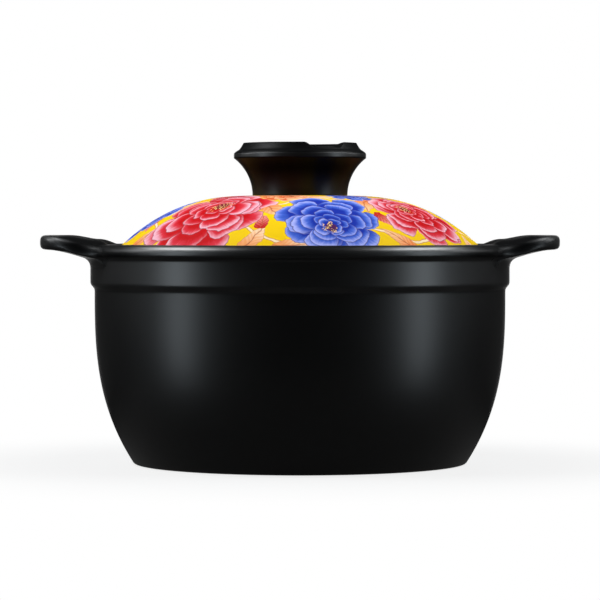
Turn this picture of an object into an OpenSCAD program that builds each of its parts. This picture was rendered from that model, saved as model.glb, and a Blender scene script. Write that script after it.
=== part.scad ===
// Ceramic casserole with two ear handles and a lift-off domed lid.
// Millimetres, +Z up. The origin is the centre of the standing face, the front faces -Y and the
// handles lie on the X axis.

/* [Pot] */
// Height of the pot from the standing face to the top of the rim
pot_h = 124.5; // [110:0.5:150]
// Outer radius of the belly where it meets the collar
body_r = 116.5; // [108:0.5:130]
// Radius that the outside of the belly comes down to
base_r = 94; // [84:0.5:104]
// How full the belly is: a higher power keeps the wall upright for longer
belly_power = 2.85; // [2.2:0.05:3.6]
// Thickness of the wall of the belly
wall = 9; // [7:0.5:11]
// Thickness of the floor
floor_t = 9; // [7:0.5:12]
// Radius of the rounded corner under the belly
base_round = 2.5; // [1:0.5:4]
// Radius of the rounded corner inside, between the floor and the wall
inner_round = 14; // [8:1:20]
// Width of the flat ring that the pot stands on
foot_w = 14; // [8:1:20]
// Depth of the recess inside the standing ring
foot_recess = 1.5; // [0.5:0.5:3]

/* [Collar and rim] */
// How far the collar stands out from the belly
collar_step = 2.7; // [1.5:0.1:3.5]
// How far the rim stands out from the collar
rim_step = 2.8; // [1.5:0.1:3.5]
// Height of each rounded step in the outside of the wall
step_h = 8.6; // [6:0.2:10]
// Height of the straight face of the collar
collar_h = 7.8; // [5:0.2:12]
// Width of the rim from its inner to its outer edge
rim_w = 12.5; // [10:0.5:14]
// Height of the rounded outer shoulder of the rim
rim_round_h = 3.3; // [2:0.1:5]
// Width of the rounded outer shoulder of the rim
rim_round_w = 5; // [3:0.5:6]
// Radius of the rounded inner edge of the rim
rim_inner_round = 2; // [1:0.5:2.5]

/* [Lid seat] */
// Depth of the ledge for the lid below the top of the rim
seat_depth = 9; // [7:0.5:12]
// Width of the ledge
seat_w = 8; // [6:0.5:10]
// Height of the upright wall below the ledge
seat_band_h = 9; // [8:0.5:12]
// Height of the slope between that wall and the belly inside
seat_slope_h = 12; // [8:0.5:16]
// Radius of the small rounded edges of the ledge
seat_round = 1; // [0.5:0.25:1.25]

/* [Lid] */
// Gap all round between the lid and the pot
lid_gap = 1.5; // [1.25:0.25:2.5]
// Height of the lid from the ledge to the foot of the knob
lid_h = 36.5; // [28:0.5:44]
// Height of the upright edge of the lid
lid_edge_h = 1.9; // [1.5:0.1:3]
// Radius of the small rounding under the edge of the lid
lid_round = 1; // [0.5:0.25:1.25]
// How flat the dome stays before it turns down to its edge
dome_power = 2.47; // [2:0.01:3]
// Thickness of the dome
lid_t = 6; // [5:0.5:8]
// Depth of the locating skirt below the ledge
skirt_h = 7; // [4:0.5:7.5]
// Thickness of the locating skirt
skirt_t = 5; // [4:0.5:6]
// Radius of the rounded corner between the skirt and the dome
under_round = 5; // [2:0.5:8]

/* [Knob] */
// Height of the knob above the dome
knob_h = 30; // [24:0.5:36]
// Radius of the neck where it meets the dome
neck_r = 27; // [22:0.5:30]
// How far the flange stands out from the foot of the neck
flange_out = 10.6; // [7:0.2:13]
// Height of the upright edge of the flange
flange_edge_h = 1.8; // [1:0.1:3]
// Height of the rounded shoulder of the flange
flange_round_h = 2.4; // [1.5:0.1:3]
// How far the crown is set in from the edge of the flange
crown_inset = 2.8; // [2:0.1:4]
// Height of the crown above the flange
crown_h = 4; // [3.5:0.25:6]
// How far the crown leans in between its foot and its top
crown_lean = 3; // [1:0.25:4]
// Width of the flat top of the crown
crown_w = 6.8; // [4:0.2:8]
// Depth of the upright wall of the recess inside the crown
recess_wall_h = 6; // [4:0.5:8]
// Depth of the bowl below that wall
recess_bowl_h = 14; // [8:0.5:15]
// Number of notches in the crown
notch_count = 2; // [1:1:3]
// Angle from the front of the pot round to the first notch
notch_turn = 28; // [0:1:90]
// Width of the floor of a notch
notch_w = 17; // [10:0.5:20]
// Depth of a notch
notch_depth = 3; // [2:0.25:3.5]
// How much further out each side of a notch is at its top than at its floor
notch_flare = 3.6; // [1:0.2:5]
// Radius of the steam passage through the knob and the dome
vent_r = 3.5; // [2.5:0.5:5]

/* [Handles] */
// How far a handle reaches past the rim
ear_reach = 25.4; // [20:0.2:34]
// Half of the angle that the root of a handle spans
ear_half_angle = 23; // [18:0.5:28]
// How squarely the outline of a handle turns its corners
ear_power = 3.4; // [2.4:0.1:5]
// Height of the crest of a handle above the rim
ear_lift = 5.3; // [3:0.1:8]
// Share of that height that is reached above the rim itself
ear_shoulder_share = 0.57; // [0.3:0.01:0.8]
// How far the underside of the tip lies below the top of the rim
ear_tip_drop = 3; // [1:0.1:5]
// How much lower the underside is at the collar than at the tip
ear_droop = 5.7; // [3:0.1:7]
// How late the underside turns down towards the collar
ear_droop_power = 1.4; // [1.1:0.1:2]
// Height of the flare between the underside and the collar
ear_flare_h = 3.6; // [2:0.2:5]
// Width of that flare
ear_flare_w = 4; // [2:0.25:6]
// Length of the rounded edge of a handle
ear_edge = 4; // [2.5:0.25:5]

/* [Hidden] */
$fn = 180;
// Overrun of a cut past the face that it opens
over = 1;
// Depth at which the ends of a handle are buried in the rim
ear_sink = 1.5;
// Steps along a long curve and along a short one
long_steps = 24;
short_steps = 10;
// Steps across a handle, along its faces, round its edge and inside the wall
ear_steps = 30;
face_steps = 13;
edge_steps = 10;
root_steps = 2;
// Power of the rounded edge of a handle, where 2 would make it an ellipse
edge_power = 3;

// Heights of the outside of the pot, from the rim down
rim_side_z = pot_h - rim_round_h;
collar_top_z = rim_side_z - step_h;
collar_low_z = collar_top_z - collar_h;
belly_h = collar_low_z - step_h;
// Radii of the pot
collar_r = body_r + collar_step;
rim_r = collar_r + rim_step;
seat_r = rim_r - rim_w;
throat_r = seat_r - seat_w;
// Heights of the inside of the pot
seat_z = pot_h - seat_depth;
throat_low_z = seat_z - seat_band_h;
slope_low_z = throat_low_z - seat_slope_h;
// Lid
lid_r = seat_r - lid_gap;
dome_h = lid_h - lid_edge_h;
skirt_r = throat_r - lid_gap;
skirt_in_r = skirt_r - skirt_t;
skirt_z = seat_z - skirt_h;
knob_z = seat_z + lid_h;
// Knob
crown_top_z = knob_z + knob_h;
crown_foot_z = crown_top_z - crown_h;
flange_top_z = crown_foot_z - flange_round_h;
flange_low_z = flange_top_z - flange_edge_h;
flange_r = neck_r + flange_out;
crown_foot_r = flange_r - crown_inset;
crown_top_r = crown_foot_r - crown_lean;
recess_r = crown_top_r - crown_w;
bowl_z = crown_top_z - recess_wall_h;
neck_h = flange_low_z - knob_z;
neck_curve_r = (neck_h * neck_h + flange_out * flange_out) / (2 * flange_out);
// Handle
ear_tip_r = rim_r + ear_reach;
ear_root_r = seat_r + rim_inner_round;
ear_end_r = ear_root_r + ear_edge;
ear_flat_r = ear_tip_r - ear_edge;
ear_crest_r = rim_r + ear_reach / 2;
ear_shoulder_r = collar_r - (rim_r - collar_r) / 2;
ear_tip_low_z = pot_h - ear_tip_drop;

// Limits a share to the span from 0 to 1
function held(share) = min(1, max(0, share));
// A smooth step from 0 to 1 that is level at both ends
function ease(share) = (1 - cos(180 * held(share))) / 2;
// A rise from 0 to 1 that starts steep and ends level
function swell(share) = sin(90 * held(share));

// Points of an elliptical corner about c with half axes a and b, from one angle to another
function corner(c, a, b, from, to) = [
    for (i = [0:short_steps])
        let (t = from + (to - from) * i / short_steps)
        [c[0] + a * cos(t), c[1] + b * sin(t)]
];
// Points of a smooth step from one radius to another between two heights
function step_points(r_low, r_high, z_low, z_high) = [
    for (i = [0:short_steps])
        let (share = i / short_steps)
        [r_low + (r_high - r_low) * ease(share), z_low + (z_high - z_low) * share]
];

// Outer radius of the belly at height z, and how far the wall leans out there
function belly_r(z) = base_r + (body_r - base_r) * (1 - pow(1 - held(z / belly_h), belly_power));
function belly_lean(z) = atan((body_r - base_r) / belly_h * belly_power
    * pow(1 - held(z / belly_h), belly_power - 1));
// Points of the belly between two heights, set in by a wall thickness
function belly_points(z_low, z_high, inset) = [
    for (i = [0:long_steps])
        let (z = z_low + (z_high - z_low) * i / long_steps)
        [belly_r(z) - inset, z]
];

// Outside of the pot from the standing ring up to the top of the rim
base_lean = belly_lean(0);
base_end_z = base_round * (1 - sin(base_lean));
foot_r = belly_r(base_end_z) - base_round * cos(base_lean);
function outside_points() = concat(
    corner([foot_r, base_round], base_round, base_round, -90, -base_lean),
    belly_points(base_end_z, belly_h, 0),
    step_points(body_r, collar_r, belly_h, collar_low_z),
    step_points(collar_r, rim_r, collar_top_z, rim_side_z),
    corner([rim_r - rim_round_w, rim_side_z], rim_round_w, rim_round_h, 0, 90)
);

// Inside of the pot from the edge of the rim down to the floor
inner_lean = belly_lean(floor_t + inner_round / 2);
inner_end_z = floor_t + inner_round * (1 - sin(inner_lean));
inner_c_r = belly_r(inner_end_z) - wall - inner_round * cos(inner_lean);
function reversed(points) = [for (i = [len(points) - 1:-1:0]) points[i]];
function inside_points() = concat(
    corner([seat_r + rim_inner_round, pot_h - rim_inner_round], rim_inner_round, rim_inner_round, 90, 180),
    reversed(corner([seat_r - seat_round, seat_z + seat_round], seat_round, seat_round, -90, 0)),
    corner([throat_r + seat_round, seat_z - seat_round], seat_round, seat_round, 90, 180),
    reversed(step_points(belly_r(slope_low_z) - wall, throat_r, slope_low_z, throat_low_z)),
    reversed(belly_points(inner_end_z, slope_low_z, wall)),
    reversed(corner([inner_c_r, floor_t + inner_round], inner_round, inner_round, -90, -inner_lean))
);

// The pot without its cooking space, which the handles are fitted to
module pot_envelope() {
    rotate_extrude()
        polygon(concat([[0, 0]], outside_points(), [[0, pot_h]]));
}

module pot_body() {
    foot_in_r = foot_r - foot_w;
    foot_points = [
        [0, floor_t],
        [0, foot_recess],
        [foot_in_r - foot_recess, foot_recess],
        [foot_in_r, 0]
    ];
    color([0.07, 0.07, 0.075])
        rotate_extrude()
            polygon(concat(foot_points, outside_points(), inside_points()));
}

// Plan of a handle: s runs from -1 to 1 across it, and the share is 1 in its middle and 0 at its ends
function ear_share(s) = 1 - pow(abs(s), ear_power);
function ear_edge_r(s) = ear_end_r + (ear_tip_r - ear_end_r) * ear_share(s) - ear_edge;
// Height of the upper face at radius r
function ear_top_z(r, s) = pot_h - ear_sink + ear_share(s) * (ear_sink
    + ear_lift * ear_shoulder_share * swell((r - ear_root_r) / (ear_shoulder_r - ear_root_r))
    + ear_lift * (1 - ear_shoulder_share) * ease((r - ear_shoulder_r) / (ear_crest_r - ear_shoulder_r)));
// Height of the underside at radius r, with its flare into the collar
function ear_low_z(r, s) = ear_tip_low_z - sqrt(ear_share(s)) * (
    ear_droop * pow(held((ear_flat_r - r) / (ear_flat_r - collar_r)), ear_droop_power)
    + ear_flare_h * pow(1 - held((r - collar_r) / ear_flare_w), 2));
function signed_root(v) = sign(v) * pow(abs(v), 2 / edge_power);
// Section of a handle at s as radius and height: upper face, rounded edge, underside, root
function ear_section(s) =
    let (
        edge_r = ear_edge_r(s),
        top_z = ear_top_z(edge_r, s),
        low_z = ear_low_z(edge_r, s),
        wall_r = min(collar_r, edge_r - ear_sink)
    )
    concat(
        [for (i = [0:face_steps - 1])
            let (r = ear_root_r + (edge_r - ear_root_r) * i / face_steps) [r, ear_top_z(r, s)]],
        [for (i = [0:edge_steps])
            let (t = 90 - 180 * i / edge_steps)
            [
                edge_r + ear_edge * signed_root(cos(t)),
                (top_z + low_z) / 2 + (top_z - low_z) / 2 * signed_root(sin(t))
            ]],
        [for (i = [1:face_steps])
            let (r = edge_r + (wall_r - edge_r) * i / face_steps) [r, ear_low_z(r, s)]],
        [for (i = [1:root_steps])
            let (r = wall_r + (ear_root_r - 2 * ear_sink - wall_r) * i / root_steps)
            [r, ear_low_z(r, s)]]
    );

// A handle on +X, before it is fitted to the pot
module ear_blank() {
    count = 2 * face_steps + edge_steps + 1 + root_steps;
    points = [
        for (k = [0:ear_steps])
            let (s = 2 * k / ear_steps - 1, turn = ear_half_angle * s)
            for (p = ear_section(s)) [p[0] * cos(turn), p[0] * sin(turn), p[1]]
    ];
    sides = [
        for (k = [0:ear_steps - 1], i = [0:count - 1])
            let (a = k * count + i, b = k * count + (i + 1) % count)
            for (face = [[a, b, b + count], [a, b + count, a + count]]) face
    ];
    first_cap = [for (i = [count - 1:-1:0]) i];
    last_cap = [for (i = [0:count - 1]) ear_steps * count + i];
    polyhedron(points = points, faces = concat(sides, [first_cap, last_cap]));
}

module ear() {
    difference() {
        ear_blank();
        pot_envelope();
    }
}

module left_handle() {
    color([0.07, 0.07, 0.075])
        mirror([1, 0, 0])
            ear();
}

module right_handle() {
    color([0.07, 0.07, 0.075])
        ear();
}

// Height of the dome at radius r, and how steeply it falls there
function dome_z(r) = knob_z - dome_h * pow(held((r - neck_r) / (lid_r - neck_r)), dome_power);
function dome_fall(r) = atan(dome_h / (lid_r - neck_r) * dome_power
    * pow(held((r - neck_r) / (lid_r - neck_r)), dome_power - 1));
// Point at a depth d below the dome, measured square to its surface at radius r
function under_point(r, d) = [r - d * sin(dome_fall(r)), dome_z(r) - d * cos(dome_fall(r))];

module lid_dome() {
    // Where the underside meets the rounded corner above the skirt
    seeds = [
        for (i = [0:long_steps])
            let (r = neck_r + (lid_r - neck_r) * i / long_steps)
            [under_point(r, lid_t + under_round)[0], r]
    ];
    under_r = lookup(skirt_in_r - under_round, seeds);
    under_c = under_point(under_r, lid_t + under_round);
    top_points = [
        for (i = [0:long_steps])
            let (r = neck_r + (lid_r - neck_r) * i / long_steps) [r, dome_z(r)]
    ];
    under_points = [
        for (i = [0:long_steps])
            let (r = under_r + (neck_r - under_r) * i / long_steps) under_point(r, lid_t)
    ];
    skirt_round = skirt_t / 3;
    color([0.97, 0.80, 0.05])
        difference() {
            rotate_extrude()
                polygon(concat(
                    [[0, knob_z]],
                    top_points,
                    reversed(corner([lid_r - lid_round, seat_z + lid_round], lid_round, lid_round, -90, 0)),
                    [[skirt_r, seat_z]],
                    reversed(corner([skirt_r - skirt_round, skirt_z + skirt_round],
                        skirt_round, skirt_round, -90, 0)),
                    reversed(corner([skirt_in_r + skirt_round, skirt_z + skirt_round],
                        skirt_round, skirt_round, -180, -90)),
                    corner(under_c, under_round, under_round, 0, 90 - dome_fall(under_r)),
                    under_points,
                    [[0, knob_z - lid_t]]
                ));
            translate([0, 0, knob_z - lid_t - over])
                cylinder(h = lid_t + 2 * over, r = vent_r);
        }
}

// A notch through the crown towards +X, open at the top
module notch() {
    floor_z = crown_top_z - notch_depth;
    flare = notch_flare * (notch_depth + over) / notch_depth;
    rotate([90, 0, 90])
        translate([0, floor_z, recess_r / 2])
            linear_extrude(height = flange_r)
                polygon([
                    [-notch_w / 2, 0],
                    [notch_w / 2, 0],
                    [notch_w / 2 + flare, notch_depth + over],
                    [-notch_w / 2 - flare, notch_depth + over]
                ]);
}

module lid_knob() {
    neck_turn = asin(neck_h / neck_curve_r);
    bowl_turn = acos(vent_r / recess_r);
    crown_round = crown_w / 8;
    color([0.07, 0.07, 0.075])
        difference() {
            rotate_extrude()
                polygon(concat(
                    [[vent_r, knob_z]],
                    reversed(corner([neck_r + neck_curve_r, knob_z], neck_curve_r, neck_curve_r,
                        180 - neck_turn, 180)),
                    corner([crown_foot_r, flange_top_z], crown_inset, flange_round_h, 0, 90),
                    corner([crown_top_r - crown_round, crown_top_z - crown_round],
                        crown_round, crown_round, 30, 90),
                    corner([recess_r + crown_round, crown_top_z - crown_round],
                        crown_round, crown_round, 90, 180),
                    corner([0, bowl_z], recess_r, recess_bowl_h, 0, -bowl_turn)
                ));
            for (i = [0:notch_count - 1])
                rotate([0, 0, notch_turn - 90 + 360 * i / notch_count])
                    notch();
        }
}

pot_body();
left_handle();
right_handle();
lid_dome();
lid_knob();
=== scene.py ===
"""Looks, light and camera for a ceramic casserole with ear handles and a domed lid.

The frame is that of the CAD model, in metres: +Z up, the front faces -Y, the handles lie on X and the origin
is the centre of the standing face. Sizes of the pieces are written in millimetres and multiplied by MM.
"""

import math

import bmesh
import bpy
import numpy as np
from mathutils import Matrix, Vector


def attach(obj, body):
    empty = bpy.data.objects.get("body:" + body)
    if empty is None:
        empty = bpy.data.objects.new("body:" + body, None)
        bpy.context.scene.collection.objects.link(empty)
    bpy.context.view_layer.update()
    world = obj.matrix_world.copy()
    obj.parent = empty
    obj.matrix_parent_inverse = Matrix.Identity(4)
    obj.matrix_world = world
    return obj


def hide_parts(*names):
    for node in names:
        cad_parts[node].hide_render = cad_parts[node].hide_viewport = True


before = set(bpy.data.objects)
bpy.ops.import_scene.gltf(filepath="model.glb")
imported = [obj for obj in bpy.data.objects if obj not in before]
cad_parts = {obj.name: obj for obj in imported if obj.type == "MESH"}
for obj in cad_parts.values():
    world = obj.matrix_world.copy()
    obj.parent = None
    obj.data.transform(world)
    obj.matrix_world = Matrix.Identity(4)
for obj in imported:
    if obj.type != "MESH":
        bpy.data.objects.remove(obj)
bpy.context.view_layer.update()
scene = bpy.context.scene

MM = 0.001

# Sizes in millimetres. They follow the solids, with finer curves on the pot, the knob and the handles.
# Belly, wall and standing ring of the pot
POT_H, BODY_R, BASE_R, BELLY_POWER = 124.5, 116.65, 94.4, 2.85
WALL, FLOOR_T, BASE_ROUND, INNER_ROUND = 9.0, 9.0, 2.5, 14.0
FOOT_W, FOOT_RECESS = 14.0, 1.5
# Collar and rim
COLLAR_R, RIM_R = 119.05, 122.0
RIM_STEP_H, COLLAR_H, COLLAR_STEP_H = 5.5, 10.45, 7.0
RIM_W, RIM_ROUND_H, RIM_ROUND_W, RIM_INNER_ROUND = 12.5, 4.4, 5.0, 2.0
RIM_SIDE_Z = POT_H - RIM_ROUND_H
COLLAR_TOP_Z = RIM_SIDE_Z - RIM_STEP_H
COLLAR_LOW_Z = COLLAR_TOP_Z - COLLAR_H
BELLY_H = COLLAR_LOW_Z - COLLAR_STEP_H
# Ledge for the lid, and the wall and slope below it
SEAT_DEPTH, SEAT_W, SEAT_BAND_H, SEAT_SLOPE_H, SEAT_ROUND = 9.0, 8.0, 9.0, 12.0, 1.0
SEAT_R = RIM_R - RIM_W
THROAT_R = SEAT_R - SEAT_W
SEAT_Z = POT_H - SEAT_DEPTH
THROAT_LOW_Z = SEAT_Z - SEAT_BAND_H
SLOPE_LOW_Z = THROAT_LOW_Z - SEAT_SLOPE_H

# Lid: dome, and the skirt under it
LID_R, LID_H, LID_EDGE_H, LID_ROUND, DOME_POWER, LID_T = 108.0, 36.5, 1.9, 1.0, 2.47, 6.0
SKIRT_R, SKIRT_T, SKIRT_H, UNDER_ROUND = 100.0, 5.0, 7.0, 5.0
KNOB_Z = SEAT_Z + LID_H
DOME_H = LID_H - LID_EDGE_H
SKIRT_Z = SEAT_Z - SKIRT_H
SKIRT_IN_R = SKIRT_R - SKIRT_T

# Knob: neck and flange, crown, recess and steam passage, notches
KNOB_H, NECK_R, FLANGE_OUT, FLANGE_EDGE_H, FLANGE_ROUND_H = 30.0, 27.0, 10.6, 2.3, 2.4
CROWN_INSET, CROWN_H, CROWN_LEAN, CROWN_W, CROWN_DIP = 2.8, 4.0, 3.0, 6.8, 1.3
FLANGE_POWER, CROWN_POWER, CROWN_ROUND = 1.6, 0.8, 0.6
RECESS_WALL_H, RECESS_BOWL_H, VENT_R = 6.0, 14.0, 3.5
NOTCH_TURN, NOTCH_W, NOTCH_DEPTH, NOTCH_FLARE, NOTCH_ROUND = 28.0, 17.0, 3.0, 3.6, 0.7
CROWN_TOP_Z = KNOB_Z + KNOB_H
CROWN_FOOT_Z = CROWN_TOP_Z - CROWN_H
FLANGE_TOP_Z = CROWN_FOOT_Z - FLANGE_ROUND_H
FLANGE_LOW_Z = FLANGE_TOP_Z - FLANGE_EDGE_H
FLANGE_R = NECK_R + FLANGE_OUT
CROWN_FOOT_R = FLANGE_R - CROWN_INSET
CROWN_TOP_R = CROWN_FOOT_R - CROWN_LEAN
RECESS_R = CROWN_TOP_R - CROWN_W

# Handles: plan, upper face, underside and its least width
EAR_REACH, EAR_HALF_ANGLE, EAR_POWER, EAR_SIDE_POWER = 25.4, 23.0, 3.4, 5.0
EAR_LIFT, EAR_SHOULDER_SHARE, EAR_SINK = 5.15, 0.57, 0.6
EAR_TIP_DROP, EAR_DROOP, EAR_DROOP_POWER, EAR_LEAST_W = 3.0, 6.0, 1.45, 1.0
# Handles: length of the rounded edge, and how square its section is at the tip, its corners and the root
EAR_EDGE, EAR_TIP_POWER, EAR_CORNER_POWER, EAR_ROOT_POWER = 4.0, 3.0, 2.0, 3.4
# Start and length of the corners as shares of the half angle, reach of the root's form and how it fades out
EAR_CORNER_SHARE, EAR_CORNER_RUN_SHARE = 0.45, 0.35
EAR_ROOT_ZONE, EAR_ROOT_FADE = 18.0, 8.0
# Handles: fillets where they meet the pot, swelling of the sides and depth in the wall
ROOT_FILLET, FOOT_FILLET, ROOT_SWELL, ROOT_INSET = 12.0, 4.5, 3.0, 0.04
EAR_TIP_R = RIM_R + EAR_REACH
EAR_ROOT_R = SEAT_R + RIM_INNER_ROUND
EAR_END_R = EAR_ROOT_R + EAR_EDGE
EAR_FLAT_R = EAR_TIP_R - EAR_EDGE
EAR_CREST_R = RIM_R + EAR_REACH / 2
EAR_SHOULDER_R = COLLAR_R - (RIM_R - COLLAR_R) / 2
EAR_TIP_LOW_Z = POT_H - EAR_TIP_DROP

# Segments of the turned pieces
LATHE_SEGMENTS, KNOB_SEGMENTS = 256, 512
# Points of an outline and of a mesh that are nearer to each other than this are one point
POINT_GAP, WELD_GAP = 0.02, 0.005


# Curves
def held(share):
    return np.clip(share, 0.0, 1.0)


def ease(share):
    """A smooth step from 0 to 1 that is level at both ends."""
    return (1 - np.cos(np.pi * held(share))) / 2


def swell(share):
    """A rise from 0 to 1 that starts steep and ends level."""
    return np.sin(np.pi / 2 * held(share))


def soft_step(share):
    """A step from 0 to 1 that is steep in its middle and fades out slowly."""
    return float(ease(ease(share)))


def fillet(away, reach):
    """How far a fillet of a given reach stands off one face at a distance from the other face."""
    return reach * (1 - np.sqrt(held(away / reach))) ** 2


def corner(centre, a, b, start, end, steps=10):
    """Points of an elliptical corner with half axes a and b, between two angles in degrees."""
    turns = np.radians(np.linspace(start, end, steps + 1))
    return [(centre[0] + a * math.cos(t), centre[1] + b * math.sin(t)) for t in turns]


def step_points(r_low, r_high, z_low, z_high, steps=18):
    """Points of a soft step in the radius between two heights."""
    shares = np.linspace(0, 1, steps + 1)
    return [(r_low + (r_high - r_low) * soft_step(s), z_low + (z_high - z_low) * s) for s in shares]


def merged(points):
    """The points without those that lie on the one before."""
    kept = [points[0]]
    for p in points[1:]:
        if math.dist(p, kept[-1]) > POINT_GAP:
            kept.append(p)
    return kept


# Meshes
def new_piece(name, verts, faces, body, slot_name, node):
    """A closed smooth mesh that rides on a body and stands for a node."""
    mesh = bpy.data.meshes.new(name)
    mesh.from_pydata([tuple(v) for v in verts], [], faces)
    mesh.validate()
    welded = bmesh.new()
    welded.from_mesh(mesh)
    bmesh.ops.remove_doubles(welded, verts=welded.verts, dist=WELD_GAP * MM)
    bmesh.ops.recalc_face_normals(welded, faces=welded.faces)
    welded.to_mesh(mesh)
    welded.free()
    mesh.shade_smooth()
    piece = bpy.data.objects.new(name, mesh)
    scene.collection.objects.link(piece)
    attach(piece, body)
    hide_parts(node)
    return piece


def lathe(outline, segments):
    """Vertices in metres and faces of a closed outline of (radius, height) turned round the Z axis."""
    ring = np.array(outline) * MM
    turns = np.linspace(0, 2 * np.pi, segments, endpoint=False)
    count = len(ring)
    verts = np.stack([
        np.outer(np.cos(turns), ring[:, 0]),
        np.outer(np.sin(turns), ring[:, 0]),
        np.broadcast_to(ring[:, 1], (segments, count)),
    ], axis=-1).reshape(-1, 3)
    faces = []
    for k in range(segments):
        a, b = k * count, (k + 1) % segments * count
        for i in range(count - 1):
            faces.append((a + i, b + i, b + i + 1, a + i + 1))
    return verts, faces


# Pot
def belly_r(z):
    return BASE_R + (BODY_R - BASE_R) * (1 - (1 - float(held(z / BELLY_H))) ** BELLY_POWER)


def belly_lean(z):
    """Lean of the belly's outside from the vertical, in degrees."""
    rest_share = 1 - float(held(z / BELLY_H))
    slope = (BODY_R - BASE_R) / BELLY_H * BELLY_POWER * rest_share ** (BELLY_POWER - 1)
    return math.degrees(math.atan(slope))


def belly_points(z_low, z_high, inset, steps=48):
    return [(belly_r(z) - inset, z) for z in np.linspace(z_low, z_high, steps + 1)]


def pot_outline():
    base_lean = belly_lean(0)
    base_end_z = BASE_ROUND * (1 - math.sin(math.radians(base_lean)))
    foot_r = belly_r(base_end_z) - BASE_ROUND * math.cos(math.radians(base_lean))
    foot_in_r = foot_r - FOOT_W
    inner_lean = belly_lean(FLOOR_T + INNER_ROUND / 2)
    inner_end_z = FLOOR_T + INNER_ROUND * (1 - math.sin(math.radians(inner_lean)))
    inner_c_r = belly_r(inner_end_z) - WALL - INNER_ROUND * math.cos(math.radians(inner_lean))
    under = [(r, FOOT_RECESS) for r in np.linspace(0, foot_in_r - 2 * FOOT_RECESS, 12)]
    under += step_points(foot_in_r - 2 * FOOT_RECESS, foot_in_r, FOOT_RECESS, 0, 6)[1:]
    under += [(r, 0) for r in np.linspace(foot_in_r, foot_r, 8)]
    outside = (
        corner((foot_r, BASE_ROUND), BASE_ROUND, BASE_ROUND, -90, -base_lean)
        + belly_points(base_end_z, BELLY_H, 0)
        + step_points(BODY_R, COLLAR_R, BELLY_H, COLLAR_LOW_Z, 36)
        + step_points(COLLAR_R, RIM_R, COLLAR_TOP_Z, RIM_SIDE_Z, 36)
        + corner((RIM_R - RIM_ROUND_W, RIM_SIDE_Z), RIM_ROUND_W, RIM_ROUND_H, 0, 90)
    )
    rim_inner = (SEAT_R + RIM_INNER_ROUND, POT_H - RIM_INNER_ROUND)
    inside = (
        corner(rim_inner, RIM_INNER_ROUND, RIM_INNER_ROUND, 90, 180)
        + corner((SEAT_R - SEAT_ROUND, SEAT_Z + SEAT_ROUND), SEAT_ROUND, SEAT_ROUND, -90, 0)[::-1]
        + corner((THROAT_R + SEAT_ROUND, SEAT_Z - SEAT_ROUND), SEAT_ROUND, SEAT_ROUND, 90, 180)
        + step_points(belly_r(SLOPE_LOW_Z) - WALL, THROAT_R, SLOPE_LOW_Z, THROAT_LOW_Z)[::-1]
        + belly_points(inner_end_z, SLOPE_LOW_Z, WALL)[::-1]
        + corner((inner_c_r, FLOOR_T + INNER_ROUND), INNER_ROUND, INNER_ROUND, -90, -inner_lean)[::-1]
        + [(r, FLOOR_T) for r in np.linspace(inner_c_r, 0, 14)]
    )
    return merged(under + outside + inside)


# Handles
def wall_r(z):
    """Outer radius of the pot at a height in the rim and the collar."""
    if z > RIM_SIDE_Z:
        share = min((z - RIM_SIDE_Z) / RIM_ROUND_H, 1.0)
        return RIM_R - RIM_ROUND_W * (1 - math.sqrt(1 - share**2))
    if z > COLLAR_TOP_Z:
        return COLLAR_R + (RIM_R - COLLAR_R) * soft_step((z - COLLAR_TOP_Z) / RIM_STEP_H)
    return COLLAR_R


def ear_outline(steps):
    """Plan of half a handle, evenly spaced from its middle: turn in half angles, and reach beyond the rim."""
    full = EAR_TIP_R - EAR_END_R
    side_end = ((EAR_TIP_R - RIM_R - ROOT_FILLET) / full) ** (1 / EAR_SIDE_POWER)
    side_s = np.linspace(0, side_end, 300)
    side_b = EAR_TIP_R - RIM_R - full * side_s**EAR_SIDE_POWER
    root_b = ROOT_FILLET * np.linspace(1, 0, 200)[1:] ** 2
    root_s = ((EAR_TIP_R - RIM_R - root_b) / full) ** (1 / EAR_SIDE_POWER)
    root_s = root_s + fillet(root_b, ROOT_FILLET) / (RIM_R * math.radians(EAR_HALF_ANGLE))
    s, b = np.append(side_s, root_s), np.append(side_b, root_b)
    turn = s * math.radians(EAR_HALF_ANGLE)
    x, y = (RIM_R + b) * np.cos(turn), (RIM_R + b) * np.sin(turn)
    length = np.append(0, np.cumsum(np.hypot(np.diff(x), np.diff(y))))
    even = np.linspace(0, length[-1], steps + 1)
    return list(zip(np.interp(even, length, s), np.interp(even, length, b)))


def ear_top_z(r, s):
    shoulder = swell((r - EAR_ROOT_R) / (EAR_SHOULDER_R - EAR_ROOT_R))
    crest = ease((r - EAR_SHOULDER_R) / (EAR_CREST_R - EAR_SHOULDER_R))
    rise = EAR_LIFT * (EAR_SHOULDER_SHARE * shoulder + (1 - EAR_SHOULDER_SHARE) * crest)
    return POT_H - EAR_SINK + ease(1 - np.abs(s) ** EAR_POWER) * (EAR_SINK + rise)


def ear_low_z(r):
    droop = EAR_DROOP * held((EAR_FLAT_R - r) / (EAR_FLAT_R - COLLAR_R)) ** EAR_DROOP_POWER
    return EAR_TIP_LOW_Z - droop - fillet(r - COLLAR_R, FOOT_FILLET)


def ear_edge_power(s, reach):
    """How square the section of the edge is: round at the corners of the tip, squarer beside the root."""
    at_corner = float(ease((abs(s) - EAR_CORNER_SHARE) / EAR_CORNER_RUN_SHARE))
    at_root = float(ease((EAR_ROOT_ZONE - reach) / EAR_ROOT_FADE))
    power = EAR_TIP_POWER + (EAR_CORNER_POWER - EAR_TIP_POWER) * at_corner
    return power + (EAR_ROOT_POWER - power) * at_root


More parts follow.
